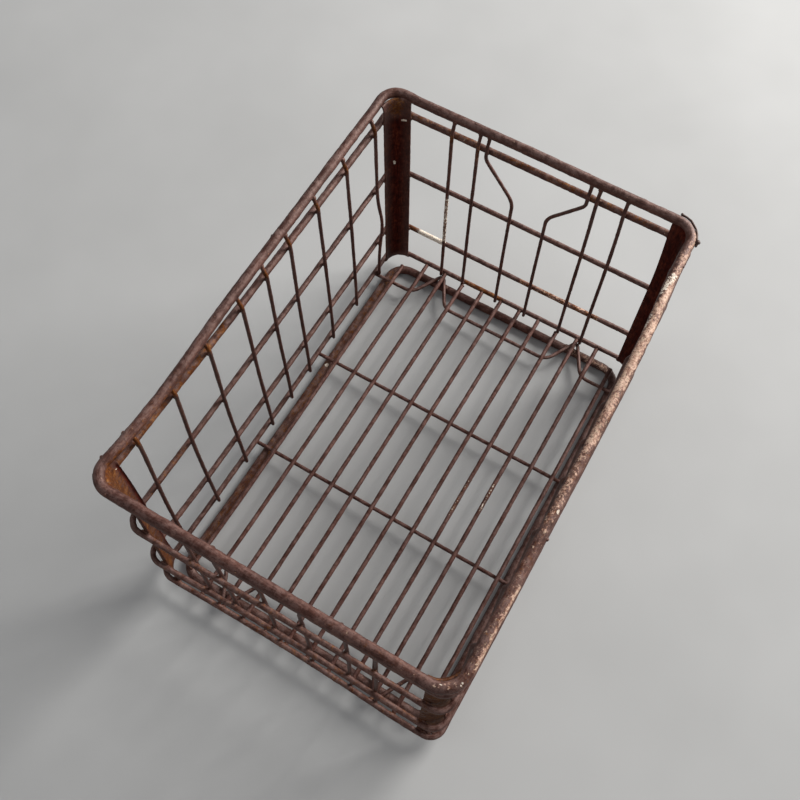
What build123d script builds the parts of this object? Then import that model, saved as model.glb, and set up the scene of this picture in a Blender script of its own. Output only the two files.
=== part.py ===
"""A welded steel wire crate: an open-topped stacking basket for bottles.

The origin is the middle of the footprint, on the plane the crate rests on. X runs along the
crate, Y across it and Z up. The "back" end is at +X and the "left" side at +Y. Millimetres.
"""

import os

from build123d import *

# ---- driving dimensions -------------------------------------------------------------------
crate_length = 476.0  # over the top rim
crate_width = 336.0
crate_height = 292.0  # resting plane to the top of the rim

rim_rod = 9.5  # top rim and stacking ring
upper_hoop_rod = 7.1
hoop_rod = 5.6
upright_rod = 3.8
floor_rod = 4.7
cross_rod = 4.2  # cross wires and end ties

rim_corner_radius = 20.0  # centre line
ring_corner_radius = 20.0
hoop_corner_radius = 14.0

post_radius = 20.0  # outside of the quarter-round corner strip
post_thickness = 1.6

ring_inset_length = 16.0  # stacking ring centre line, in from the rim centre line at each end
ring_inset_width = 16.0  # the same at each side

upper_hoop_drop = 23.0  # hoop centre lines, down from the rim centre line
high_hoop_drop = 115.5
middle_hoop_drop = 213.5

upright_lean_drop = 17.0  # rim centre line down to where an upright leans out to meet the rim
upright_lean_radius = 8.0
upright_top_inset = 2.5  # an upright's top end, in from the rim centre line

side_wire_pitch = 50.8
side_wire_centre_gap = 38.1  # middle wire to the next one
side_wire_pairs = 4

end_wire_offsets = (63.5, 92.0)  # straight end wires, each side of the middle
hand_hold_foot = 19.0  # hand-hold wires, each side of the middle
hand_hold_top = 54.0
hand_hold_drop = 31.0  # rim centre line down to the upper bend
hand_hold_slope_drop = 46.0  # height of the sloping part
hand_hold_lower_radius = 30.0  # the bend at the foot of the slope
hand_hold_upper_radius = 16.0

floor_wire_count = 12
floor_wire_pitch = 25.0
cross_wire_offset = 63.5

tie_offset = 189.0  # straight part of the bent wire near each end
tie_peak_offset = 89.0  # each outward peak, sideways from the middle
tie_peak_half_width = 22.0
tie_bend_radius = 16.0
tie_peak_radius = 3.5
tie_peak_setback = 1.0  # sharp corner of a peak, in from the low hoop's centre line

contact_gap = 0.02  # left between pieces that touch, where the weld sits

# ---- worked out ---------------------------------------------------------------------------
rim_half_length = (crate_length - rim_rod) / 2
rim_half_width = (crate_width - rim_rod) / 2
rim_height = crate_height - rim_rod / 2

# Uprights stand just inside the rim and lean out to it at the top. The hoops wrap round them.
wire_half_length = rim_half_length - rim_rod / 2 - upright_rod / 2 - contact_gap
wire_half_width = rim_half_width - rim_rod / 2 - upright_rod / 2 - contact_gap
hoop_face_half_length = wire_half_length + upright_rod / 2 + contact_gap
hoop_face_half_width = wire_half_width + upright_rod / 2 + contact_gap

# From the ground up: ring, cross wires, then floor wires level with the lowest hoop.
ring_height = rim_rod / 2
cross_wire_height = rim_rod + contact_gap + cross_rod / 2
cross_wire_top = cross_wire_height + cross_rod / 2
floor_wire_height = cross_wire_top + contact_gap + floor_rod / 2
low_hoop_height = cross_wire_top + contact_gap + hoop_rod / 2
wire_foot = cross_wire_top + contact_gap
lean_height = rim_height - upright_lean_drop
upright_top = rim_height - rim_rod / 2 - contact_gap
upright_top_reach = rim_half_length - upright_top_inset - wire_half_length

ring_half_length = rim_half_length - ring_inset_length
ring_half_width = rim_half_width - ring_inset_width

os.makedirs("parts", exist_ok=True)


def save(name, piece):
    """Label a finished piece and write its STEP file."""
    piece.part.label = name
    export_step(piece.part, f"parts/{name}.step")


# ---- bent rods ----------------------------------------------------------------------------
def rod_along(path, diameter):
    """A round rod with its centre line on a BuildLine path."""
    with BuildPart() as rod:
        with BuildSketch(Plane(origin=path.line @ 0, z_dir=path.line % 0)):
            Circle(diameter / 2)
        sweep(path=path.line)
    return rod


def closed_hoop(half_length, half_width, corner_radius, diameter, height):
    """A rod bent into a closed rectangle with round corners."""
    with BuildLine(Plane.XY.offset(height)) as path:
        FilletPolyline(
            (half_length, -half_width),
            (half_length, half_width),
            (-half_length, half_width),
            (-half_length, -half_width),
            radius=corner_radius,
            close=True,
        )
    return rod_along(path, diameter)


def wrapping_hoop(diameter, height):
    """A hoop whose inside faces lie against the upright wires."""
    return closed_hoop(
        hoop_face_half_length + diameter / 2,
        hoop_face_half_width + diameter / 2,
        hoop_corner_radius,
        diameter,
        height,
    )


def straight_wire(start, end, diameter):
    """A straight length of wire between two points."""
    with BuildLine() as path:
        Line(start, end)
    return rod_along(path, diameter)


# ---- rim, hoops and stacking ring -----------------------------------------------------------
save(
    "top_rim",
    closed_hoop(rim_half_length, rim_half_width, rim_corner_radius, rim_rod, rim_height),
)
save("upper_hoop", wrapping_hoop(upper_hoop_rod, rim_height - upper_hoop_drop))
save("high_hoop", wrapping_hoop(hoop_rod, rim_height - high_hoop_drop))
save("middle_hoop", wrapping_hoop(hoop_rod, rim_height - middle_hoop_drop))
save("low_hoop", wrapping_hoop(hoop_rod, low_hoop_height))
save(
    "stacking_ring",
    closed_hoop(ring_half_length, ring_half_width, ring_corner_radius, rim_rod, ring_height),
)


# ---- corner posts ---------------------------------------------------------------------------
def corner_post(x_side, y_side):
    """A quarter-round strip that stands inside the hoops at one corner."""
    outer_radius = post_radius - contact_gap
    centre = (
        x_side * (hoop_face_half_length - post_radius),
        y_side * (hoop_face_half_width - post_radius),
    )
    with BuildPart() as post:
        with BuildSketch(Plane.XY.offset(low_hoop_height)):
            with Locations(centre):
                Circle(outer_radius)
                Circle(outer_radius - post_thickness, mode=Mode.SUBTRACT)
            with Locations((centre[0] + x_side * post_radius, centre[1] + y_side * post_radius)):
                Rectangle(2 * post_radius, 2 * post_radius, mode=Mode.INTERSECT)
        extrude(amount=rim_height - low_hoop_height)
    return post


for end_name, x_side in (("back", 1), ("front", -1)):
    for side_name, y_side in (("left", 1), ("right", -1)):
        save(f"corner_post_{end_name}_{side_name}", corner_post(x_side, y_side))


# ---- upright wires --------------------------------------------------------------------------
side_steps = [side_wire_centre_gap + side_wire_pitch * step for step in range(side_wire_pairs)]
side_wire_places = sorted([0.0] + side_steps + [-step for step in side_steps])


def upright_wire(foot, outward):
    """A wire from the floor to the underside of the rim, leaning out along outward at its top."""
    base = Vector(*foot, wire_foot)
    bend = Vector(*foot, lean_height)
    top = Vector(*foot, upright_top) + Vector(*outward) * upright_top_reach
    with BuildLine() as path:
        FilletPolyline(base, bend, top, radius=upright_lean_radius)
    return rod_along(path, upright_rod)


for side_name, y_side in (("left", 1), ("right", -1)):
    for number, x in enumerate(side_wire_places, start=1):
        upright = upright_wire((x, y_side * wire_half_width), (0, y_side, 0))
        save(f"side_wire_{side_name}_{number}", upright)

end_wire_places = sorted([-offset for offset in end_wire_offsets] + list(end_wire_offsets))

for end_name, x_side in (("back", 1), ("front", -1)):
    for number, y in enumerate(end_wire_places, start=1):
        upright = upright_wire((x_side * wire_half_length, y), (x_side, 0, 0))
        save(f"end_wire_{end_name}_{number}", upright)


# ---- hand-hold wires ------------------------------------------------------------------------
def hand_hold_wire(x_side, y_side):
    """An end wire cranked outwards below the rim, so that a hand fits between the pair."""
    x = x_side * wire_half_length
    upper_bend = rim_height - hand_hold_drop
    with BuildLine() as path:
        FilletPolyline(
            (x, y_side * hand_hold_foot, wire_foot),
            (x, y_side * hand_hold_foot, upper_bend - hand_hold_slope_drop),
            (x, y_side * hand_hold_top, upper_bend),
            (x, y_side * hand_hold_top, lean_height),
            (x + x_side * upright_top_reach, y_side * hand_hold_top, upright_top),
            radius=(hand_hold_lower_radius, hand_hold_upper_radius, upright_lean_radius),
        )
    return rod_along(path, upright_rod)


for end_name, x_side in (("back", 1), ("front", -1)):
    for side_name, y_side in (("left", 1), ("right", -1)):
        save(f"hand_hold_wire_{end_name}_{side_name}", hand_hold_wire(x_side, y_side))


# ---- floor ----------------------------------------------------------------------------------
uprights_across_end = end_wire_places + [-hand_hold_foot, hand_hold_foot]


def floor_wire_half_length(y):
    """How far a floor wire runs: to the low hoop, an end wire's foot, or the ring's corner."""
    if abs(y) > hoop_face_half_width - post_radius - floor_rod / 2:
        return ring_half_length - rim_rod / 2
    if min(abs(y - foot) for foot in uprights_across_end) < (floor_rod + upright_rod) / 2:
        return wire_half_length - upright_rod / 2 - contact_gap
    return hoop_face_half_length - contact_gap


for number in range(1, floor_wire_count + 1):
    y = (number - (floor_wire_count + 1) / 2) * floor_wire_pitch
    reach = floor_wire_half_length(y)
    start = (-reach, y, floor_wire_height)
    floor_wire = straight_wire(start, (reach, y, floor_wire_height), floor_rod)
    save(f"floor_wire_{number}", floor_wire)

hoop_half_width = hoop_face_half_width + hoop_rod / 2

for end_name, x_side in (("back", 1), ("front", -1)):
    x = x_side * cross_wire_offset
    cross_wire = straight_wire(
        (x, -hoop_half_width, cross_wire_height),
        (x, hoop_half_width, cross_wire_height),
        cross_rod,
    )
    save(f"cross_wire_{end_name}", cross_wire)


# ---- end ties -------------------------------------------------------------------------------
def end_tie(x_side):
    """A wire across the floor near one end, bent out to the low hoop at two sharp peaks."""
    peak_x = x_side * (hoop_face_half_length + hoop_rod / 2 - tie_peak_setback)
    base_x = x_side * tie_offset
    inner_y = tie_peak_offset - tie_peak_half_width
    outer_y = tie_peak_offset + tie_peak_half_width
    with BuildLine(Plane.XY.offset(cross_wire_height)) as path:
        FilletPolyline(
            (base_x, -hoop_half_width),
            (base_x, -outer_y),
            (peak_x, -tie_peak_offset),
            (base_x, -inner_y),
            (base_x, inner_y),
            (peak_x, tie_peak_offset),
            (base_x, outer_y),
            (base_x, hoop_half_width),
            radius=(tie_bend_radius, tie_peak_radius, tie_bend_radius) * 2,
        )
    return rod_along(path, cross_rod)


for end_name, x_side in (("back", 1), ("front", -1)):
    save(f"end_tie_{end_name}", end_tie(x_side))
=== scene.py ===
"""The look of the welded wire crate: rusted rods, corner posts, welds, floor, light and camera.

Every rod and strip stands for the CAD node of the same name. It is laid along the node's own
box, then roughened into rust scale, and all of them follow one gentle field of old dents.
Lengths are in metres, in the CAD frame: X along the crate, Y across it and Z up.
"""

import itertools
import math

import bpy
import numpy as np
from mathutils import Euler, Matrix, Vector


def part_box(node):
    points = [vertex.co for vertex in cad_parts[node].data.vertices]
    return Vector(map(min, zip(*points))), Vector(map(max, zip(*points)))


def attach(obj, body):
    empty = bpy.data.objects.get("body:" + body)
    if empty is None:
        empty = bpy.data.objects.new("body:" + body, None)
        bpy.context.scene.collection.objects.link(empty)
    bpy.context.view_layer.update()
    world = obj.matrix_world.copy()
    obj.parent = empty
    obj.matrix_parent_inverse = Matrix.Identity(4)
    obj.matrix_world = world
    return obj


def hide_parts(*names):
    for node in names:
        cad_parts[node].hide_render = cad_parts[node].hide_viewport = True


MM = 0.001
BODY = "root"
UP = (0.0, 0.0, 1.0)

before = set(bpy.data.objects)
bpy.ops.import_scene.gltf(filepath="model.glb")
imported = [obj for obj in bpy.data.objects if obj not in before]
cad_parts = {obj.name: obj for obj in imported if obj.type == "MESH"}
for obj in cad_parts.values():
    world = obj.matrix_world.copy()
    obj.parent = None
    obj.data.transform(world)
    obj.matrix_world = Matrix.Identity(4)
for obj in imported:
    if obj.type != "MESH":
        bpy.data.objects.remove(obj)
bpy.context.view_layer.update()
nodes = sorted(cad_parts)

HOOPS = ["upper_hoop", "high_hoop", "middle_hoop", "low_hoop"]
UPRIGHTS = [n for n in nodes if n.startswith(("side_wire", "end_wire", "hand_hold"))]
POSTS = [n for n in nodes if n.startswith("corner_post")]
FLOOR_WIRES = [n for n in nodes if n.startswith("floor_wire")]
CROSS_WIRES = ["cross_wire_back", "cross_wire_front"]
TIES = ["end_tie_back", "end_tie_front"]


# ---- numbers the CAD boxes don't give ---------------------------------------------------------
RIM_CORNER = 20.0 * MM  # centre line radii of the closed loops
RING_CORNER = 20.0 * MM
HOOP_CORNER = 14.0 * MM
POST_RADIUS = 20.0 * MM
POST_THICKNESS = 1.6 * MM
POST_FLARE = 2.2 * MM  # the post spreads this far at its top, into the rim
POST_FLARE_HEIGHT = 7.0 * MM
LEAN_DROP = 17.0 * MM  # an upright leans out to the rim from here, below the rim's centre line
LEAN_BEND = 8.0 * MM
TOP_INSET = 2.5 * MM  # an upright's top end, in from the rim's centre line
TOP_SINK = 1.3 * MM
HAND_HOLD_DROP = 31.0 * MM
HAND_HOLD_SLOPE = 46.0 * MM
HAND_HOLD_BENDS = [30.0 * MM, 16.0 * MM]  # at the foot of the slope and at its head
TIE_HALF_WIDTH = 22.0 * MM
TIE_PEAK = 89.0 * MM
TIE_BEND = 16.0 * MM
TIE_PEAK_BEND = 3.5 * MM
PEAK_OVERSHOOT = 2.2 * MM  # the sharp corner of a peak lies this far past its rounded tip
PATH_STEP = 1.2 * MM  # mesh spacing along a rod, and round it
RING_STEP = 1.15 * MM
BEND_STEPS = 16
FEWEST_SIDES = 10
CUT_END = 0.72  # a wire's cut end is this much of its radius
STREAK_SQUEEZE = 0.2  # streaks are this much finer across a rod than along it
RUN_SHUFFLE = np.array([7.1, 3.3, 5.7])  # gives each rod its own streaks
SMALL = 1e-9

# How strongly each kind of piece is rusted.
RIM_RUST = 1.35
THICK_ROD_RUST = 1.2
HOOP_RUST = 1.0
WIRE_RUST = 0.85
POST_RUST = 1.4
SLIVER_RUST = 1.6


def mm(*values):
    """Millimetres as an array in metres."""
    return np.array(values) * MM


def box(node):
    """A node's lowest and highest corners as arrays."""
    low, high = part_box(node)
    return np.array(low), np.array(high)


def middle(node):
    """The middle of a node's box."""
    low, high = box(node)
    return (low + high) / 2


def half_height(node):
    """Half the height of a node's box: the radius of a rod that lies flat."""
    low, high = box(node)
    return (high[2] - low[2]) / 2


def outer_corner(node):
    """Which way out of the crate a corner post faces, along X and Y, and its outer corner."""
    low, high = box(node)
    way = np.sign((low + high)[:2])
    return way, np.where(way > 0, high[:2], low[:2])


rim_high = box("top_rim")[1]
rim_z = middle("top_rim")[2]
RIM = half_height("top_rim")  # radii of the rim and of an upright
UPRIGHT = min(box("end_wire_back_1")[1] - box("end_wire_back_1")[0]) / 2


# ---- noise ------------------------------------------------------------------------------------
TURN = np.array(Euler((0.5, 0.7, 0.3)).to_matrix())  # keeps the noise cells off the rods' axes
AXIS_PRIMES = [np.uint32(prime) for prime in (374761393, 668265263, 2246822519)]
MIX_PRIME = np.uint32(1274126177)
SEED_STEP = 40503
SEED_START = 7


def lattice(cells, seed):
    """A repeatable value from -1 to 1 for each whole-number cell."""
    x, y, z = (cells[..., i].astype(np.uint32) * AXIS_PRIMES[i] for i in range(3))
    mixed = x + y + z + np.uint32(seed * SEED_STEP + SEED_START)
    mixed = (mixed ^ (mixed >> np.uint32(13))) * MIX_PRIME
    mixed = mixed ^ (mixed >> np.uint32(16))
    return mixed.astype(np.float64) / (2**31) - 1.0


def noise(points, size, seed):
    """Smooth noise from -1 to 1 whose features are about size across."""
    scaled = points @ TURN / size
    cell = np.floor(scaled)
    part = scaled - cell
    part = part * part * (3 - 2 * part)
    cell = cell.astype(np.int64)
    total = np.zeros(points.shape[:-1])
    for corner in itertools.product((0, 1), repeat=3):
        weight = np.prod(np.where(np.array(corner) == 1, part, 1 - part), axis=-1)
        total += weight * lattice(cell + np.array(corner), seed)
    return total


SWELL = 0.12 * MM  # heights of the layers of rust
PLATE = 0.06 * MM
BLISTER = 0.14 * MM
PIT_DEPTH = 0.20 * MM


def rust_height(points, strength):
    """How far the rust stands above the clean steel.

    It swells gently. Plates are noise with flattened tops, and blisters and pits are only the
    highest peaks of theirs.
    """
    swell = noise(points, size=14 * MM, seed=1)
    plates = np.clip(4 * noise(points, size=6 * MM, seed=2), -1, 1)
    blisters = np.clip(3 * (noise(points, size=3.6 * MM, seed=3) - 0.45), 0, 1)
    pits = np.clip(3 * (noise(points, size=3.0 * MM, seed=4) - 0.48), 0, 1)
    return strength * (SWELL * swell + PLATE * plates + BLISTER * blisters - PIT_DEPTH * pits)


# ---- old dents --------------------------------------------------------------------------------
WANDER_SIZE = 130 * MM
WANDER = mm(0.7, 0.7, 0.35)  # along X, Y and Z
WANDER_SEEDS = (21, 22, 23)


def dent(centre, push, reach, on=""):
    """One dent, in millimetres, on the pieces whose names start with on."""
    return mm(*centre), mm(*push), reach * MM, on


DENTS = [
    # The front end's two lower corners are pushed out.
    dent((-229, 160, 40), push=(-3.0, 3.0, 0), reach=75),
    dent((-229, 160, 120), push=(-1.0, 1.5, 0), reach=60),
    dent((-229, -130, 20), push=(-3.5, 0, 0), reach=80),
    # The back right corner is pushed in, and the upper hoop bows out beside it.
    dent((192, -163, 300), push=(0, 6.0, 0), reach=68),
    dent((152, -160, 262), push=(0, -3.2, 0), reach=50, on="upper_hoop"),
    dent((152, -160, 262), push=(0, -3.2, 0), reach=50, on="side_wire_right"),
    dent((229, -158, 290), push=(-0.4, 1.0, 0), reach=28, on="top_rim"),
    # The two left corners are pulled out, the rim dips between them, and the hoop under it rises.
    dent((230, 159, 288), push=(2.2, 1.9, 0), reach=20),
    dent((-229, 159, 288), push=(-1.3, 1.7, 0), reach=22),
    dent((-150, 163, 290), push=(0, -4.5, 0), reach=75, on="top_rim"),
    dent((190, 163, 290), push=(0, 2.0, 0), reach=160, on="top_rim"),
    dent((-229, 161, 264), push=(0, 0.6, 2.6), reach=120, on="upper_hoop"),
    # Uprights on the left: some have drifted along the rim, and the last one is kinked.
    dent((-190, 156, 290), push=(5.5, 0, 0), reach=90, on="side_wire_left_1"),
    dent((-140, 156, 290), push=(5.0, 0, 0), reach=90, on="side_wire_left_2"),
    dent((-89, 156, 290), push=(2.0, 0, 0), reach=90, on="side_wire_left_3"),
    dent((190, 156, 108), push=(7.0, -1.0, 0), reach=38, on="side_wire_left_9"),
    dent((89, 156, 290), push=(-3.0, 0, 0), reach=90, on="side_wire_left_7"),
    dent((140, 156, 290), push=(-2.5, 0, 0), reach=90, on="side_wire_left_8"),
]


def dented(points, node):
    """Points moved by the crate's gentle racking and by the dents that reach them."""
    wander = np.stack([noise(points, WANDER_SIZE, seed) for seed in WANDER_SEEDS], axis=-1)
    moved = points + wander * WANDER
    for centre, push, reach, on in DENTS:
        if node.startswith(on):
            far = np.linalg.norm(points - centre, axis=-1) / reach
            moved = moved + np.exp(-(far**2))[..., None] * push
    return moved


# ---- marks: where the rust is fresh, pale or dark -----------------------------------------------
def mark(on, start, end, reach, fresh=0.0, pale=0.0, crust_and_shade=0.0, bare=0.0):
    """A mark along a line, in millimetres, on the pieces whose names start with on.

    fresh is orange rust, pale is the pinkish coat (on the front left rim corner, a painted highlight),
    crust is red-black crust (above 1 it is near-black painted shade) and bare is cream metal.
    """
    return on, mm(*start), mm(*end), reach * MM, np.array([fresh, pale, crust_and_shade, bare])


MARKS = [
    # The coat along the rim's right side, and spots where it has worn through.
    mark("top_rim", (228, -164, 292), (120, -162, 292), 11, fresh=0.3, pale=1.0),
    mark("top_rim", (120, -162, 292), (-5, -162, 292), 9.5, fresh=0.5, pale=1.05),
    mark("top_rim", (-5, -162, 292), (-90, -162, 292), 8.5, fresh=0.4, pale=0.8),
    mark("top_rim", (-70, -163, 292), (-215, -164, 292), 8, fresh=0.4, pale=0.62),
    mark("top_rim", (172, -159, 291), (153, -155, 291), 5, pale=0.9, bare=0.72),
    mark("top_rim", (127, -157, 291), (113, -156, 291), 3.5, pale=0.9, bare=0.74),
    mark("top_rim", (-71, -166, 291), (-73, -166, 291), 2, pale=0.4, bare=0.9),
    # Flecks round the front right corner of the rim, and under it.
    mark("top_rim", (-224, -162, 292), (-233, -146, 292), 6, fresh=0.3, pale=0.6),
    mark("top_rim", (-234, -60, 292), (-234, -145, 292), 6, fresh=0.3, pale=0.45),
    mark("top_rim", (-231, -148, 292), (-230, -150, 292), 2.6, pale=0.6, bare=0.58),
    mark("top_rim", (-222, -163, 292), (-224, -162, 292), 3, pale=0.6, bare=0.62),
    mark("top_rim", (-208, -167, 290), (-140, -168, 290), 5, fresh=0.6, pale=1.0, bare=0.2),
    # The rim's front, back and left sides.
    mark("top_rim", (-233, -140, 287), (-233, 150, 287), 12, crust_and_shade=0.22),
    mark("top_rim", (234, -130, 292), (234, 150, 292), 8, pale=0.32),
    mark("top_rim", (226, 160, 292), (213, 166, 292), 9, fresh=0.1, pale=0.35),
    # A pale streak round the inside top of the front left corner: a painted highlight.
    mark("top_rim", (-233, 146, 292), (-226, 158, 292), 5, pale=0.6),
    mark("top_rim", (-214, 156, 286), (-228, 148, 286), 6, fresh=0.9, pale=0.3),
    mark("top_rim", (-215, 158, 286), (-120, 158, 286), 6, fresh=0.75),
    # Corner posts: orange at the front, dark red at the back.
    mark("corner_post_front_left", (-224, 150, 30), (-224, 150, 282), 15, fresh=1.1),
    mark(
        "corner_post_front_left",
        (-212.6, 157, 271.5),
        (-213, 157, 272.5),
        2.0,
        fresh=0.6,
        pale=0.5,
        bare=0.66,
    ),
    mark("corner_post_front_left", (-220, 152, 286), (-228, 144, 284), 6, fresh=1.0, pale=0.6, bare=0.1),
    # A near-black painted shadow strip down one edge of the post.
    mark("corner_post_front_left", (-208, 158, 25), (-208, 158, 274), 4.2, crust_and_shade=2.0),
    mark("corner_post_front_left", (-228, 139, 25), (-228, 139, 270), 5, crust_and_shade=0.6),
    mark("corner_post_back_left", (222, 152, 274), (222, 152, 288), 9, fresh=0.9, pale=0.2),
    mark("corner_post_back_left", (209, 159, 240), (209, 159, 30), 5, fresh=0.55),
    mark("corner_post_back_left", (222, 152, 30), (222, 152, 256), 12, crust_and_shade=1.0),
    mark("corner_post_back_left", (226, 144, 260.5), (225, 147, 260), 2, bare=1.0),
    mark("corner_post_back_left", (220, 153, 197), (220, 153, 193), 2, bare=0.9),
    mark("corner_post_back_right", (222, -152, 20), (222, -152, 290), 30, crust_and_shade=1.0),
    mark("corner_post_front_right", (-225, -155, 20), (-225, -155, 275), 26, fresh=1.0, crust_and_shade=0.05),
    # Hoops.
    mark("upper_hoop", (-215, 161, 264), (-60, 161, 264), 9, fresh=0.75),
    mark("upper_hoop", (232, 140, 267), (232, -140, 267), 5, fresh=0.6, pale=0.5),
    mark("upper_hoop", (206, -157, 267), (150, -157, 267), 6, fresh=0.3, pale=0.95),
    mark("upper_hoop", (164, -156, 267), (152, -156, 267), 4, pale=0.9, bare=0.7),
    mark("high_hoop", (-215, 161, 172), (-150, 161, 172), 9, fresh=0.45),
    mark("middle_hoop", (231, 138, 74), (231, 127, 74), 4, fresh=0.9, pale=0.6, bare=0.3),
    mark("middle_hoop", (231, 124, 74), (231, 95, 74), 6, fresh=0.4, pale=0.9, bare=0.92),
    mark("middle_hoop", (231, -8, 74), (231, -100, 74), 5, fresh=1.0, pale=1.0, bare=0.35),
    mark("low_hoop", (231, 62, 18), (231, 15, 18), 6, fresh=0.9, pale=0.35),
    # Wires and the stacking ring.
    mark("end_wire_back_4", (226.5, 92, 165), (226.5, 92, 90), 6, fresh=0.9, pale=1.0, bare=0.62),
    mark("end_wire_back", (227, -100, 120), (227, 100, 120), 110, crust_and_shade=0.35),
    mark("hand_hold_wire_back", (227, -60, 120), (227, 60, 120), 110, crust_and_shade=0.35),
    mark("side_wire_left", (-200, 157, 110), (200, 157, 110), 110, crust_and_shade=0.35),
    mark("floor_wire", (-220, 0, 18), (220, 0, 18), 300, crust_and_shade=0.26),
    mark("cross_wire", (0, -160, 12), (0, 160, 12), 300, crust_and_shade=0.26),
    mark("stacking_ring", (217, -50, 5), (217, 140, 5), 16, fresh=0.2, crust_and_shade=0.3),
    mark("stacking_ring", (217, -84, 9), (215, -134, 9), 6, fresh=0.5, pale=0.9, bare=0.2),
    mark("end_wire_back", (226.5, 92, 262), (226.5, 63, 262), 12, fresh=0.7, pale=0.1),
    mark("side_wire_left", (-200, 158, 275), (200, 158, 275), 9, fresh=1.0, pale=0.45),
    mark("side_wire_left_1", (-186, 160, 283), (-186, 160, 284), 2.6, fresh=0.5, pale=0.9, bare=0.75),
    mark("stacking_ring", (57, 146, 10), (56, 146, 10), 3.0, bare=1.1),
    mark("stacking_ring", (-217, 146, 5), (217, 146, 5), 9, fresh=0.65),
    mark("floor_wire_5", (-137, -37, 18), (-138, -37, 18), 1.8, fresh=0.6, bare=0.75),
    mark("floor_wire_4", (12, -62, 19), (-30, -62, 19), 2.6, fresh=0.7, pale=0.6, bare=0.56),
    mark("floor_wire_3", (22, -88, 19), (-12, -88, 19), 2.6, fresh=0.7, pale=0.6, bare=0.6),
    # A little orange on everything low at the front end.
    mark("", (-231, 140, 74), (-231, -140, 74), 9, fresh=0.4, pale=0.05),
    mark("", (-231, 140, 172), (-231, -140, 172), 9, fresh=0.4, pale=0.05),
    mark("", (-231, 140, 16), (-231, -140, 16), 9, fresh=0.45, pale=0.05),
]


def mark_colours(points, name):
    """Fresh, pale, crust and bare amounts for each point of a piece, as colours."""
    amounts = np.zeros(points.shape[:-1] + (4,))
    for on, start, end, reach, kinds in MARKS:
        if name.startswith(on):
            line = end - start
            along = np.clip((points - start) @ line / max(line @ line, SMALL), 0, 1)
            far = np.linalg.norm(points - start - along[..., None] * line, axis=-1) / reach
            amounts = np.maximum(amounts, np.exp(-(far**2))[..., None] * kinds)
    return amounts


# ---- materials ----------------------------------------------------------------------------------
MOTTLE_COLOURS = [
    (0.36, (0.019, 0.0055, 0.0038, 1)),
    (0.45, (0.045, 0.0132, 0.0088, 1)),
    (0.52, (0.075, 0.0255, 0.0172, 1)),
    (0.59, (0.125, 0.0500, 0.0340, 1)),
    (0.68, (0.210, 0.1060, 0.0740, 1)),
]
BLOOM_COLOURS = [
    (0.34, (0.055, 0.014, 0.0035, 1)),
    (0.50, (0.135, 0.043, 0.0090, 1)),
    (0.66, (0.310, 0.135, 0.0380, 1)),
]
COAT_COLOURS = [
    (0.62, (0.150, 0.074, 0.056, 1)),
    (0.72, (0.400, 0.230, 0.165, 1)),
    (0.82, (0.780, 0.550, 0.415, 1)),
]
CRUST_COLOURS = [
    (0.38, (0.0170, 0.0018, 0.0012, 1)),
    (0.52, (0.0520, 0.0062, 0.0036, 1)),
    (0.66, (0.1150, 0.0230, 0.0095, 1)),
]
BARE_COLOURS = [(0.32, (0.480, 0.360, 0.270, 1)), (0.60, (0.860, 0.780, 0.660, 1))]
FLOOR_COLOURS = [(0.3, (0.40, 0.40, 0.395, 1)), (0.7, (0.44, 0.44, 0.435, 1))]
# Dust, and a painted highlight, on whatever faces up.
DUST_AND_TOP_HIGHLIGHT = (0.185, 0.124, 0.112, 1)
FLAKE = (0.560, 0.400, 0.290, 1)
CHIP = (0.40, 0.20, 0.11, 1)
PIT = (0.022, 0.0070, 0.0050, 1)
# Near-black painted shade, where a crust mark goes above 1.
PAINTED_SHADE_BLACK = (0.0110, 0.0016, 0.0008, 1)
# Painted shade where the rods turn away from the view.
PAINTED_OUTLINE_SHADE = (0.020, 0.0065, 0.0050, 1)
WELD_BROWN = (0.085, 0.030, 0.015, 1)
LOOSE_BLACK = (0.012, 0.004, 0.003, 1)
SHEEN_TINT = (1.0, 0.73, 0.64, 1)

SHEEN = 0.55  # how strongly plain rust mirrors the light, and how much of that dull rust loses
SHEEN_LOST = 0.5
SMOOTHEST = 0.36  # roughness of the darkest rust and of the palest
ROUGHEST = 0.72
DULL_ROUGHNESS = 0.95
FLAKE_ROUGHNESS = 0.7
FLOOR_ROUGHNESS = 0.9
FLOOR_PATCH = 0.25


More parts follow.
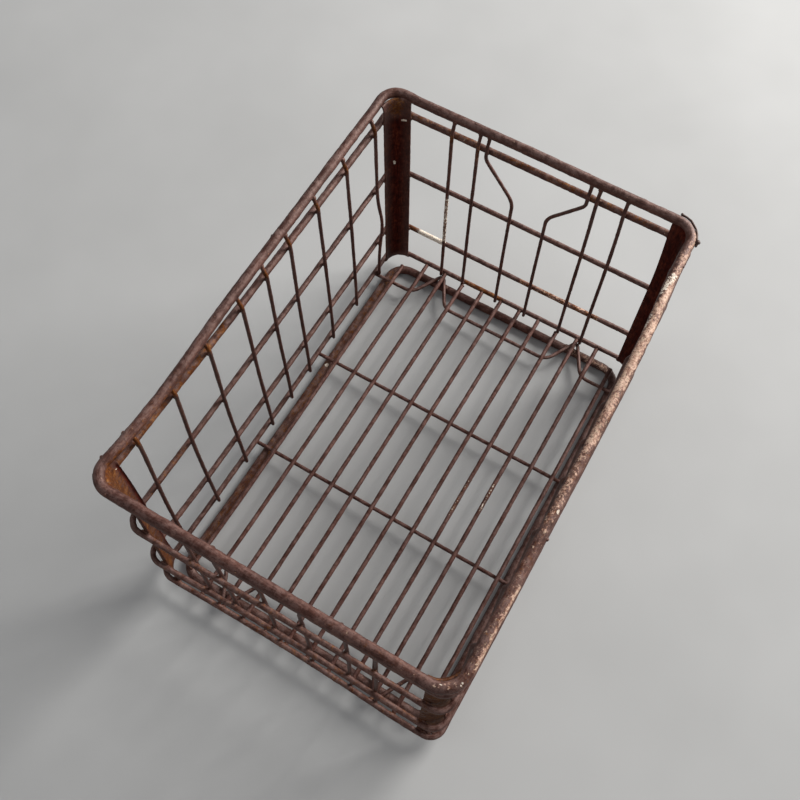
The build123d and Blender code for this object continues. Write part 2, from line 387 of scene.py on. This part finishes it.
class Shader:
    """Short names for the nodes a material here is made of."""

    def __init__(self, name):
        self.material = bpy.data.materials.new(name)
        self.material.use_nodes = True
        self.tree = self.material.node_tree
        self.surface = self.tree.nodes["Principled BSDF"]

    def node(self, kind, inputs=None, **settings):
        made = self.tree.nodes.new(kind)
        for key, value in settings.items():
            setattr(made, key, value)
        for key, value in (inputs or {}).items():
            self.feed(made.inputs[key], value)
        return made

    def feed(self, socket, value):
        if isinstance(value, bpy.types.NodeSocket):
            self.tree.links.new(value, socket)
        else:
            socket.default_value = value

    def noise(self, place, size, detail=3.0, roughness=0.6, distortion=0.0):
        """Noise from 0 to 1 with features about size metres across."""
        inputs = {"Vector": place, "Scale": 1 / size, "Detail": detail}
        inputs |= {"Roughness": roughness, "Distortion": distortion}
        return self.node("ShaderNodeTexNoise", inputs).outputs["Fac"]

    def math(self, operation, a, b, clamp=False):
        made = self.node("ShaderNodeMath", {0: a, 1: b}, operation=operation, use_clamp=clamp)
        return made.outputs[0]

    def times(self, a, b, clamp=False):
        return self.math("MULTIPLY", a, b, clamp)

    def plus(self, a, b):
        return self.math("ADD", a, b)

    def step(self, value, low, high):
        """0 below low, 1 above high, smooth between."""
        inputs = {"Value": value, "From Min": low, "From Max": high}
        made = self.node("ShaderNodeMapRange", inputs, interpolation_type="SMOOTHSTEP")
        return made.outputs["Result"]

    def blend(self, *parts):
        """The sum of values, each given with its share."""
        total = None
        for value, share in parts:
            scaled = self.times(value, share)
            total = scaled if total is None else self.plus(total, scaled)
        return total

    def bump(self, value, strength, height, under=None):
        inputs = {"Height": value, "Strength": strength, "Distance": height}
        if under:
            inputs["Normal"] = under
        return self.node("ShaderNodeBump", inputs).outputs["Normal"]

    def mix(self, amount, a, b):
        made = self.node("ShaderNodeMix", data_type="RGBA")
        self.feed(made.inputs["Factor"], amount)
        self.feed(made.inputs["A"], a)
        self.feed(made.inputs["B"], b)
        return made.outputs["Result"]

    def ramp(self, value, stops):
        made = self.node("ShaderNodeValToRGB", {"Fac": value})
        ramp = made.color_ramp
        while len(ramp.elements) < len(stops):
            ramp.elements.new(0.5)
        for element, (place, colour) in zip(ramp.elements, stops):
            element.position = place
            element.color = colour
        return made.outputs["Color"]


class Rust(Shader):
    """Old brown rust, built up in layers of colour."""

    def __init__(self, name):
        super().__init__(name)
        self.place = self.node("ShaderNodeTexCoord").outputs["Object"]
        self.run = self.node("ShaderNodeAttribute", attribute_name="run").outputs["Vector"]
        marks = self.node("ShaderNodeAttribute", attribute_name="marks")
        kinds = self.node("ShaderNodeSeparateColor", {0: marks.outputs["Color"]})
        self.fresh, self.pale, self.crust_and_shade = kinds.outputs
        self.bare = marks.outputs["Alpha"]
        self.middle = self.noise(self.place, 7 * MM, detail=4.0, roughness=0.62, distortion=0.4)
        self.fine = self.noise(self.place, 1.9 * MM, detail=4.0, roughness=0.65)
        self.lifting = self.noise(self.place, 3.0 * MM, detail=4.0, distortion=0.6)

    def cover(self, amount, colour):
        """Lay a colour over the layers so far."""
        self.colour = self.mix(amount, self.colour, colour)

    def mottle(self):
        """Plain rust, with dust and a painted highlight on whatever faces up."""
        broad = self.noise(self.place, 30 * MM, roughness=0.55)
        streak = self.noise(self.run, 1.5 * MM)
        self.tone = self.blend((self.middle, 0.31), (self.fine, 0.19), (broad, 0.26), (streak, 0.24))
        self.colour = self.ramp(self.tone, MOTTLE_COLOURS)
        geometry = self.node("ShaderNodeNewGeometry")
        normal = self.node("ShaderNodeSeparateXYZ", {0: geometry.outputs["Normal"]})
        facing_up = self.step(normal.outputs["Z"], 0.15, 0.95)
        drift = self.step(self.plus(self.middle, self.times(streak, 0.5)), 0.60, 0.93)
        self.cover(self.times(self.times(facing_up, drift), 0.56), DUST_AND_TOP_HIGHLIGHT)

    def blooms(self):
        """Orange blooms: everywhere a little, and solid where marked."""
        patches = self.noise(self.place, 5 * MM, detail=4.0, roughness=0.7)
        amount = self.blend((patches, 0.7), (self.fine, 0.3), (self.fresh, 0.34))
        self.bloom = self.times(self.step(amount, 0.62, 0.82), 0.85)
        tone = self.blend((self.fine, 0.5), (self.middle, 0.5))
        self.cover(self.bloom, self.ramp(tone, BLOOM_COLOURS))

    def coat(self):
        """A pinkish coat with ragged edges, and small flakes lifting from it."""
        patches = self.noise(self.place, 11 * MM, detail=5.0, roughness=0.62, distortion=0.5)
        ragged = self.blend((patches, 0.45), (self.fine, 0.55))
        marked = self.step(self.pale, 0.05, 0.25)
        amount = self.step(self.plus(ragged, self.times(self.pale, 0.44)), 0.80, 0.90)
        tone = self.plus(ragged, self.times(self.pale, 0.24))
        self.cover(self.times(self.times(amount, marked), 0.88), self.ramp(tone, COAT_COLOURS))
        flakes = self.step(self.plus(self.lifting, self.times(self.pale, 0.20)), 0.74, 0.80)
        self.flake = self.times(flakes, marked)
        self.cover(self.times(self.flake, 0.8), FLAKE)

    def specks(self):
        """Sparse bright specks where scale has just chipped off, and small dark pits."""
        chip = self.step(self.noise(self.place, 2.6 * MM, detail=2.0, roughness=0.5), 0.735, 0.765)
        self.cover(self.times(chip, 0.7), CHIP)
        pit = self.step(self.noise(self.place, 1.5 * MM, detail=2.0), 0.56, 0.66)
        self.cover(self.times(pit, 0.68), PIT)

    def crusts(self):
        """Red-black crust where marked, streaked along the piece, and near-black painted shade where the
        mark goes above 1.
        """
        tone = self.blend((self.noise(self.run, 2.2 * MM), 0.6), (self.middle, 0.4))
        self.crusted = self.times(self.crust_and_shade, 0.95, clamp=True)
        self.cover(self.crusted, self.ramp(tone, CRUST_COLOURS))
        self.cover(self.step(self.crust_and_shade, 1.0, 1.6), PAINTED_SHADE_BLACK)

    def edges(self):
        """Painted shade: the rods darken towards their outlines, where they turn away from the view."""
        turned = self.node("ShaderNodeLayerWeight", {"Blend": 0.5}).outputs["Facing"]
        self.cover(self.times(self.step(turned, 0.45, 0.95), 0.6), PAINTED_OUTLINE_SHADE)

    def bare_metal(self):
        """Bare cream patches with broken edges."""
        broken = self.blend((self.fine, 0.6), (self.lifting, 0.4))
        self.bared = self.step(self.plus(self.bare, self.times(broken, 1.6)), 1.36, 1.46)
        self.cover(self.bared, self.ramp(self.fine, BARE_COLOURS))

    def finish(self):
        """Crust and blooms are dull, plain rust has a faint warm sheen, and all of it is rough."""
        surface = self.surface.inputs
        self.feed(surface["Base Color"], self.colour)
        dull = self.math("MAXIMUM", self.crusted, self.bloom)
        lift = self.math("MAXIMUM", self.flake, self.bared)
        inputs = {"Value": self.tone, "To Min": SMOOTHEST, "To Max": ROUGHEST}
        rough = self.node("ShaderNodeMapRange", inputs).outputs["Result"]
        rough = self.mix(dull, rough, (DULL_ROUGHNESS,) * 3 + (1,))
        self.feed(surface["Roughness"], self.mix(lift, rough, (FLAKE_ROUGHNESS,) * 3 + (1,)))
        sheen = self.math("SUBTRACT", SHEEN, self.times(dull, SHEEN_LOST))
        self.feed(surface["Specular IOR Level"], sheen)
        surface["Specular Tint"].default_value = SHEEN_TINT
        speck = self.noise(self.place, 0.8 * MM, detail=2.0, roughness=0.5)
        grain = self.bump(speck, strength=0.6, height=0.25 * MM)
        scale = self.bump(self.fine, strength=0.55, height=0.5 * MM, under=grain)
        raised = self.bump(lift, strength=0.6, height=0.25 * MM, under=scale)
        self.feed(surface["Normal"], raised)
        return self.material


def rust_material(name, shade=0.0, colour=None):
    """Old rust, with shade of one plain colour laid over it."""
    rust = Rust(name)
    rust.mottle()
    rust.blooms()
    rust.coat()
    rust.specks()
    rust.crusts()
    rust.edges()
    rust.bare_metal()
    if shade:
        rust.cover(shade, colour)
    return rust.finish()


RUST = rust_material("rust")
WELD_RUST = rust_material("weld_rust", 0.35, WELD_BROWN)
CRUST = rust_material("loose_crust", 0.80, LOOSE_BLACK)


# ---- mesh pieces ----------------------------------------------------------------------------------
def piece(name, verts, faces, material, replaced=(), run=None):
    """A smooth mesh object that rides on the crate and stands for the given nodes.

    run is where the streaks in the rust are looked up: points squeezed along the piece.
    """
    mesh = bpy.data.meshes.new(name)
    mesh.from_pydata(verts.tolist(), [], faces)
    mesh.polygons.foreach_set("use_smooth", [True] * len(mesh.polygons))
    colours = mesh.attributes.new("marks", "FLOAT_COLOR", "POINT")
    colours.data.foreach_set("color", mark_colours(verts, name).astype(np.float32).ravel())
    runs = mesh.attributes.new("run", "FLOAT_VECTOR", "POINT")
    runs.data.foreach_set("vector", (verts if run is None else run).astype(np.float32).ravel())
    mesh.materials.append(material)
    made = bpy.data.objects.new(name, mesh)
    bpy.context.scene.collection.objects.link(made)
    if replaced:
        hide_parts(*replaced)
    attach(made, BODY)
    return made


def unit(vectors):
    return vectors / np.maximum(np.linalg.norm(vectors, axis=-1, keepdims=True), SMALL)


def rounded_path(corners, radii, closed):
    """Evenly spaced points along straight runs joined by round bends."""
    corners = [np.array(c, dtype=float) for c in corners]
    count = len(corners)
    points = [] if closed else [corners[0]]
    bends = range(count) if closed else range(1, count - 1)
    for i, radius in zip(bends, radii):
        here = corners[i]
        back = unit(corners[i - 1] - here)
        ahead = unit(corners[(i + 1) % count] - here)
        half = math.acos(np.clip(back @ ahead, -1, 1)) / 2
        middle = unit(back + ahead)
        centre = here + middle * radius / math.sin(half)
        start = here + back * radius / math.tan(half)
        across = unit(start - centre)
        end_way = unit(here + ahead * radius / math.tan(half) - centre)
        sweep = math.acos(np.clip(across @ end_way, -1, 1))
        other = unit(end_way - across * (across @ end_way))
        for angle in np.linspace(0, sweep, BEND_STEPS):
            points.append(centre + radius * (across * math.cos(angle) + other * math.sin(angle)))
    points.append(points[0] if closed else corners[-1])
    points = np.array(points)
    length = np.concatenate([[0], np.cumsum(np.linalg.norm(np.diff(points, axis=0), axis=1))])
    steps = max(2, round(length[-1] / PATH_STEP))
    wanted = np.linspace(0, length[-1], steps + 1)
    if closed:
        wanted = wanted[:-1]
    return np.stack([np.interp(wanted, length, points[:, i]) for i in range(3)], axis=1)


def tube(path, radius, closed, facing, strength):
    """Vertices, faces and streak points of a rusted round rod along a path.

    facing is a direction that the path never runs along.
    """
    if closed:
        tangent = unit(np.roll(path, -1, axis=0) - np.roll(path, 1, axis=0))
    else:
        tangent = unit(np.gradient(path, axis=0))
    side = unit(np.cross(tangent, np.array(facing)))
    up = np.cross(side, tangent)
    sides = max(FEWEST_SIDES, round(2 * math.pi * radius / RING_STEP))
    angle = np.arange(sides) * 2 * math.pi / sides
    out = np.cos(angle)[:, None] * side[:, None, :] + np.sin(angle)[:, None] * up[:, None, :]
    shape = np.full(len(path), radius)
    if not closed:
        shape[[0, -1]] *= CUT_END
    ring = path[:, None, :] + out * shape[:, None, None]
    ring = ring + out * rust_height(ring, strength)[..., None]
    verts = ring.reshape(-1, 3)
    rows = len(path)
    length = np.arange(rows) * PATH_STEP * STREAK_SQUEEZE + path[0] @ RUN_SHUFFLE
    run = np.empty_like(ring)
    run[..., 0] = length[:, None]
    run[..., 1] = np.cos(angle) * radius
    run[..., 2] = np.sin(angle) * radius
    faces = []
    for i in range(rows if closed else rows - 1):
        low, high = i * sides, ((i + 1) % rows) * sides
        for j in range(sides):
            k = (j + 1) % sides
            faces.append((low + j, high + j, high + k, low + k))
    if not closed:
        faces.append(tuple(range(sides)))
        faces.append(tuple(range((rows - 1) * sides, rows * sides))[::-1])
    return verts, faces, run.reshape(-1, 3)


def rod(node, path, radius, closed, facing, strength):
    """The rusted rod that stands for one node."""
    verts, faces, run = tube(dented(path, node), radius, closed, facing, strength)
    return piece(f"{node}_rusted", verts, faces, RUST, [node], run)


def loop(node, corner_radius, strength):
    """A closed hoop laid along its node's box."""
    low, high = box(node)
    radius = half_height(node)
    x, y = (high[:2] - low[:2]) / 2 - radius
    corners = [(x, -y, 0), (x, y, 0), (-x, y, 0), (-x, -y, 0)]
    corners = [middle(node) + np.array(corner) for corner in corners]
    path = rounded_path(corners, [corner_radius] * 4, True)
    return rod(node, path, radius, True, UP, strength)


def straight(node):
    """A straight wire laid along its node's box."""
    low, high = box(node)
    axis = int(np.argmax(high - low))
    start, end = middle(node), middle(node)
    start[axis], end[axis] = low[axis], high[axis]
    path = rounded_path([start, end], [], False)
    return rod(node, path, min(high - low) / 2, False, UP, WIRE_RUST)


def upright_path(node):
    """An upright's centre line: up from the floor, then leaning out to the rim's underside."""
    low, high = box(node)
    across = 1 if node.startswith("side_wire") else 0
    side = math.copysign(1, low[across])
    stand = min(abs(low[across]), abs(high[across])) + UPRIGHT
    reach = rim_high[across] - RIM - TOP_INSET
    foot, top = sorted((low[1 - across] + UPRIGHT, high[1 - across] - UPRIGHT), key=abs)
    bend = rim_z - HAND_HOLD_DROP
    stops = [(stand, foot, low[2])]
    radii = [LEAN_BEND]
    if node.startswith("hand_hold"):
        stops += [(stand, foot, bend - HAND_HOLD_SLOPE), (stand, top, bend)]
        radii = HAND_HOLD_BENDS + radii
    stops += [(stand, top, rim_z - LEAN_DROP), (reach, top, rim_z - RIM + TOP_SINK)]
    corners = []
    for out, along, z in stops:
        corner = [side * out, along, z]
        corners.append(corner if across == 0 else [along, side * out, z])
    return rounded_path(corners, radii, False)


def upright(node):
    """An upright wire laid along its centre line."""
    facing = (0.0, 1.0, 0.0) if node.startswith("side_wire") else (1.0, 0.0, 0.0)
    return rod(node, upright_path(node), UPRIGHT, False, facing, WIRE_RUST)


def tie_path(node):
    """The bent tie's centre line, with its two sharp peaks."""
    low, high = box(node)
    radius = half_height(node)
    base, peak = sorted((low[0] + radius, high[0] - radius), key=abs)
    z = middle(node)[2]
    peak += math.copysign(PEAK_OVERSHOOT, peak)
    corners = [(base, low[1], z)]
    for y in (-TIE_PEAK, TIE_PEAK):
        corners += [(base, y - TIE_HALF_WIDTH, z), (peak, y, z), (base, y + TIE_HALF_WIDTH, z)]
    corners.append((base, high[1], z))
    return rounded_path(corners, [TIE_BEND, TIE_PEAK_BEND, TIE_BEND] * 2, False)


loop("top_rim", RIM_CORNER, RIM_RUST)
loop("stacking_ring", RING_CORNER, THICK_ROD_RUST)
loop("upper_hoop", HOOP_CORNER, THICK_ROD_RUST)
for hoop in HOOPS[1:]:
    loop(hoop, HOOP_CORNER, HOOP_RUST)
for node in CROSS_WIRES + FLOOR_WIRES:
    straight(node)
for node in UPRIGHTS:
    upright(node)
for node in TIES:
    rod(node, tie_path(node), half_height(node), False, UP, WIRE_RUST)


# ---- corner posts ---------------------------------------------------------------------------------
SKIN_SINK = 0.1 * MM  # the clean skin starts this far inside the strip's own faces


def post(node):
    """A quarter-round strip with a ragged, rust-eaten skin."""
    low, high = box(node)
    way, corner = outer_corner(node)
    centre = corner - way * POST_RADIUS
    rows = round((high[2] - low[2]) / PATH_STEP)
    cols = round(POST_RADIUS * math.pi / 2 / RING_STEP)
    z = np.linspace(low[2], high[2], rows)
    angle = np.linspace(0, math.pi / 2, cols)
    grid_z, grid_a = np.meshgrid(z, angle, indexing="ij")
    out = np.stack([way[0] * np.cos(grid_a), way[1] * np.sin(grid_a), np.zeros_like(grid_a)], axis=-1)
    axis = np.stack([np.full_like(grid_z, centre[0]), np.full_like(grid_z, centre[1]), grid_z], axis=-1)
    flare = np.clip((grid_z - high[2]) / POST_FLARE_HEIGHT + 1, 0, 1)
    axis = axis + out * (POST_FLARE * flare * flare)[..., None]
    layers = []
    for radius, facing in ((POST_RADIUS, 1), (POST_RADIUS - POST_THICKNESS, -1)):
        skin = axis + out * radius
        rust = rust_height(skin, POST_RUST)[..., None]
        layers.append(skin + out * facing * (rust - SKIN_SINK))
    verts = dented(np.concatenate([layer.reshape(-1, 3) for layer in layers]), node)
    turn = way[0] * way[1] > 0

    def index(layer, i, j):
        return layer * rows * cols + i * cols + j

    faces = []
    for i in range(rows - 1):
        for j in range(cols - 1):
            quad = [(i, j), (i, j + 1), (i + 1, j + 1), (i + 1, j)]
            outer = tuple(index(0, *q) for q in quad)
            inner = tuple(index(1, *q) for q in reversed(quad))
            faces += [outer, inner] if turn else [outer[::-1], inner[::-1]]
    # A walk round the grid's four edges, which joins the outer skin to the inner one.
    edge = [(i, 0) for i in range(rows)] + [(rows - 1, j) for j in range(1, cols)]
    edge += [(i, cols - 1) for i in range(rows - 2, -1, -1)] + [(0, j) for j in range(cols - 2, 0, -1)]
    for a, b in zip(edge, edge[1:] + edge[:1]):
        quad = (index(0, *a), index(0, *b), index(1, *b), index(1, *a))
        faces.append(quad[::-1] if not turn else quad)
    run = verts * np.array([1.0, 1.0, STREAK_SQUEEZE])
    return piece(f"{node}_rusted", verts, faces, RUST, [node], run)


for node in POSTS:
    post(node)


# ---- welds ----------------------------------------------------------------------------------------
class Beads:
    """Lumps gathered into one piece."""

    RINGS = 6
    SIDES = 9
    LUMP = 0.28  # how much a lump swells and shrinks
    LUMP_SIZE = 3.5 * MM
    LUMP_SEED = 31
    LUMP_PLACE = 3 * MM  # the radius at which a lump's noise is looked up

    def __init__(self):
        self.verts, self.faces, self.count = [], [], 0

    def add(self, centre, radii, node="", bent=True):
        """A lumpy ellipsoid with the given half sizes, moved by node's dents when bent."""
        rings, sides = self.RINGS, self.SIDES
        rows = []
        for i in range(1, rings):
            a = math.pi * i / rings
            for j in range(sides):
                b = 2 * math.pi * j / sides
                rows.append((math.sin(a) * math.cos(b), math.sin(a) * math.sin(b), math.cos(a)))
        shape = np.array([(0, 0, 1)] + rows + [(0, 0, -1)], dtype=float)
        centre = dented(np.array([centre], dtype=float), node)[0] if bent else centre
        lump = 1 + self.LUMP * noise(centre + shape * self.LUMP_PLACE, self.LUMP_SIZE, self.LUMP_SEED)
        self.verts.append(centre + shape * radii * lump[:, None])
        base = self.count
        last = base + len(shape) - 1
        for j in range(sides):
            k = (j + 1) % sides
            self.faces.append((base, base + 1 + j, base + 1 + k))
            for i in range(rings - 2):
                p, q = base + 1 + i * sides, base + 1 + (i + 1) * sides
                self.faces.append((p + j, q + j, q + k, p + k))
            p = base + 1 + (rings - 2) * sides
            self.faces.append((p + j, last, p + k))
        self.count += len(shape)

    def finish(self, name, material=WELD_RUST):
        return piece(name, np.concatenate(self.verts), self.faces, material)


def place_of(node, z):
    """Where an upright's centre line is at a given height."""
    path = upright_path(node)
    return np.array([np.interp(z, path[:, 2], path[:, i]) for i in (0, 1)] + [z])


# Half sizes of the welds along X, Y and Z.
HOOP_WELD = 2.15 * MM
HOOP_WELD_DEPTH = 1.3 * MM
RIM_WELD = mm(2.6, 2.6, 2.4)
CROSSING_WELD = mm(2.5, 2.5, 1.3)
FLOOR_END_WELD = mm(1.8, 2.6, 2.4)
RING_WELD = mm(3.0, 3.4, 1.4)
LOW_HOOP_WELD = mm(2.6, 2.6, 1.3)
PEAK_WELD = mm(2.6, 3.2, 1.3)
PEAK_RING_WELD = mm(3.4, 3.2, 1.4)
POST_SIDE_WELD = mm(3.4, 1.4, 2.6)
POST_END_WELD = mm(1.4, 3.4, 2.6)
PACKING = mm(3.2, 3.2, 2.0)

PEAK_TIP_INSET = 1.0 * MM  # a peak's weld, in from the low hoop's centre line
PEAK_RING_SPREAD = 9 * MM  # where a peak's two legs cross the ring, each side of its tip
POST_WELD_PLACES = (15 * MM, 18 * MM)  # in from the corner, along each hoop
PACKED_POST = "corner_post_front_right"  # rust and dirt fill the gap behind its lowest hoop
PACKED_OUT = 1.6 * MM
PACKED_TURNS = (22, 34, 45, 56, 68)  # degrees round the post


def weld_uprights(row, across):
    """Welds where a row of uprights meets the hoops and the rim. across is the row's out axis."""
    beads = Beads()
    prefixes = (row, row.replace("end_wire", "hand_hold_wire"))
    for node in UPRIGHTS:
        if not node.startswith(prefixes):
            continue
        for hoop in HOOPS:
            centre = place_of(node, middle(hoop)[2])
            centre[across] += math.copysign(UPRIGHT, centre[across])
            radii = np.full(3, HOOP_WELD)
            radii[across] = HOOP_WELD_DEPTH
            beads.add(centre, radii, node)
        beads.add(place_of(node, rim_z - RIM + TOP_SINK), RIM_WELD, node)
    beads.finish(f"welds_{row}")


def weld_floor():
    """Welds where the floor wires cross the wires under them, and at their ends."""
    beads = Beads()
    top = box("cross_wire_back")[1][2]
    for node in FLOOR_WIRES:
        low, high = box(node)
        y = middle(node)[1]
        for cross in CROSS_WIRES:
            beads.add((middle(cross)[0], y, top), CROSSING_WELD)
        for tie in TIES:
            path = tie_path(tie)
            nearest = path[np.argmin(np.abs(path[:, 1] - y))]
            if abs(nearest[0]) < high[0]:
                beads.add((nearest[0], y, top), CROSSING_WELD)
        for x in (low[0], high[0]):
            beads.add((x, y, middle(node)[2]), FLOOR_END_WELD)
    beads.finish("welds_floor")


def weld_ring():
    """Welds where the wires under the floor meet the stacking ring and the lowest hoop."""
    beads = Beads()
    ring = box("stacking_ring")[1] - half_height("stacking_ring") * np.array([1, 1, 0])
    hoop = box("low_hoop")[1] - half_height("low_hoop") * np.array([1, 1, 0])
    for node in CROSS_WIRES + TIES:
        top = box(node)[1][2]
        x = middle(node)[0] if node in CROSS_WIRES else tie_path(node)[0][0]
        for sign in (-1, 1):
            beads.add((x, sign * ring[1], ring[2]), RING_WELD)
            beads.add((x, sign * hoop[1], top), LOW_HOOP_WELD)
        if node in TIES:
            way = math.copysign(1, x)
            for sign in (-1, 1):
                peak = sign * TIE_PEAK
                beads.add((way * (hoop[0] - PEAK_TIP_INSET), peak, top), PEAK_WELD)
                for spread in (-PEAK_RING_SPREAD, PEAK_RING_SPREAD):
                    beads.add((way * ring[0], peak + spread, ring[2]), PEAK_RING_WELD)
    beads.finish("welds_ring")


def weld_posts():
    """Welds on both faces of each corner post, and what is packed behind one of them."""
    beads = Beads()
    for node in POSTS:
        way, corner = outer_corner(node)
        for hoop in HOOPS:
            z = middle(hoop)[2]
            for inward in POST_WELD_PLACES:
                beads.add((corner[0] - way[0] * inward, corner[1], z), POST_SIDE_WELD)
                beads.add((corner[0], corner[1] - way[1] * inward, z), POST_END_WELD)
        if node == PACKED_POST:
            for turn in PACKED_TURNS:
                a = math.radians(turn)
                out = np.array([math.cos(a), math.sin(a)]) * way * (POST_RADIUS + PACKED_OUT)
                x, y = corner - way * POST_RADIUS + out
                beads.add((x, y, box(node)[0][2]), PACKING)
    beads.finish("welds_posts")


for row in ("side_wire_left", "side_wire_right"):
    weld_uprights(row, across=1)
for row in ("end_wire_back", "end_wire_front"):
    weld_uprights(row, across=0)
weld_floor()
weld_ring()
weld_posts()


# ---- loose scale ------------------------------------------------------------------------------------
# The centre line of a thin curl of scale peeling off one rim corner, and lumps left on the rim,
# in millimetres.
SLIVER = [
    (238.2, -139.5, 290),
    (238.1, -144.2, 289.5),
    (236.7, -149.3, 289),
    (233.6, -153, 289),
    (230.3, -156.6, 289),
    (225.6, -159.4, 289),
    (221.0, -161.2, 289),
    (218.0, -163.2, 289),
    (213.0, -163.4, 288),
]
CRUMBS = [
    (-188, 167.5, 288),
    (-213, 167, 288),
    (188, -167, 288),
    (-236, 144, 290),
    (30, 167.5, 287),
    (-95, -167.5, 287),
]
SLIVER_RADIUS = 1.1 * MM
SLIVER_BEND = 2 * MM
SLIVER_TIP = mm(1.6, 1.5, 1.4)  # half sizes of the lump at its thin end, and at its root
SLIVER_ROOT = mm(2.8, 2.4, 1.8)
CRUMB = mm(2.0, 2.0, 1.7)

path = rounded_path([mm(*place) for place in SLIVER], [SLIVER_BEND] * (len(SLIVER) - 2), False)
verts, faces, run = tube(path, SLIVER_RADIUS, False, UP, SLIVER_RUST)
piece("loose_sliver", verts, faces, CRUST, run=run)

beads = Beads()
for place in CRUMBS:
    beads.add(mm(*place), CRUMB, "top_rim")
beads.finish("loose_crumbs")

beads = Beads()
beads.add(mm(*SLIVER[-2]), SLIVER_ROOT, bent=False)
beads.add(mm(*SLIVER[0]), SLIVER_TIP, bent=False)
beads.finish("loose_sliver_ends", CRUST)


# ---- floor, light and camera ----------------------------------------------------------------------
FLOOR_HALF = 6.0
LIGHT_TARGET = Vector((0, 0, 0.12))
CAMERA_PLACE = (-0.34868, -0.18051, 1.02986)
CAMERA_TURN = (27.5759, -1.0131, -59.959)  # degrees about X, Y and Z
CAMERA_LENS = 44.8156
CAMERA_SHIFT = (-0.015454, -0.061044)


def floor_material():
    """A plain pale floor whose tone drifts a little."""
    s = Shader("pale_floor")
    place = s.node("ShaderNodeTexCoord").outputs["Object"]
    s.feed(s.surface.inputs["Base Color"], s.ramp(s.noise(place, FLOOR_PATCH), FLOOR_COLOURS))
    s.surface.inputs["Roughness"].default_value = FLOOR_ROUGHNESS
    return s.material


mesh = bpy.data.meshes.new("floor")
corners = [(x * FLOOR_HALF, y * FLOOR_HALF, 0) for x, y in ((-1, -1), (1, -1), (1, 1), (-1, 1))]
mesh.from_pydata(corners, [], [(0, 1, 2, 3)])
mesh.materials.append(floor_material())
floor = bpy.data.objects.new("floor", mesh)
bpy.context.scene.collection.objects.link(floor)


def softbox(name, place, size, energy, colour):
    """A square area light aimed at the middle of the crate."""
    light = bpy.data.lights.new(name, "AREA")
    light.size = size
    light.energy = energy
    light.color = colour
    made = bpy.data.objects.new(name, light)
    made.location = place
    made.rotation_euler = (LIGHT_TARGET - Vector(place)).to_track_quat("-Z", "Y").to_euler()
    bpy.context.scene.collection.objects.link(made)


softbox("key_light", (2.7, -1.3, 1.5), size=2.0, energy=215.0, colour=(1.0, 0.985, 0.96))
softbox("fill_light", (-1.6, 1.4, 2.2), size=2.4, energy=8.0, colour=(0.93, 0.96, 1.0))

world = bpy.data.worlds.new("studio")
world.use_nodes = True
sky = world.node_tree.nodes["Background"]
sky.inputs["Color"].default_value = (0.96, 0.97, 1.0, 1)
sky.inputs["Strength"].default_value = 0.33
bpy.context.scene.world = world
bpy.context.scene.view_settings.view_transform = "Standard"

camera_data = bpy.data.cameras.new("camera")
camera_data.sensor_width = 36.0
camera_data.lens = CAMERA_LENS
camera_data.shift_x, camera_data.shift_y = CAMERA_SHIFT
camera = bpy.data.objects.new("camera", camera_data)
camera.location = CAMERA_PLACE
camera.rotation_euler = Euler([math.radians(angle) for angle in CAMERA_TURN])
bpy.context.scene.collection.objects.link(camera)
bpy.context.scene.camera = camera
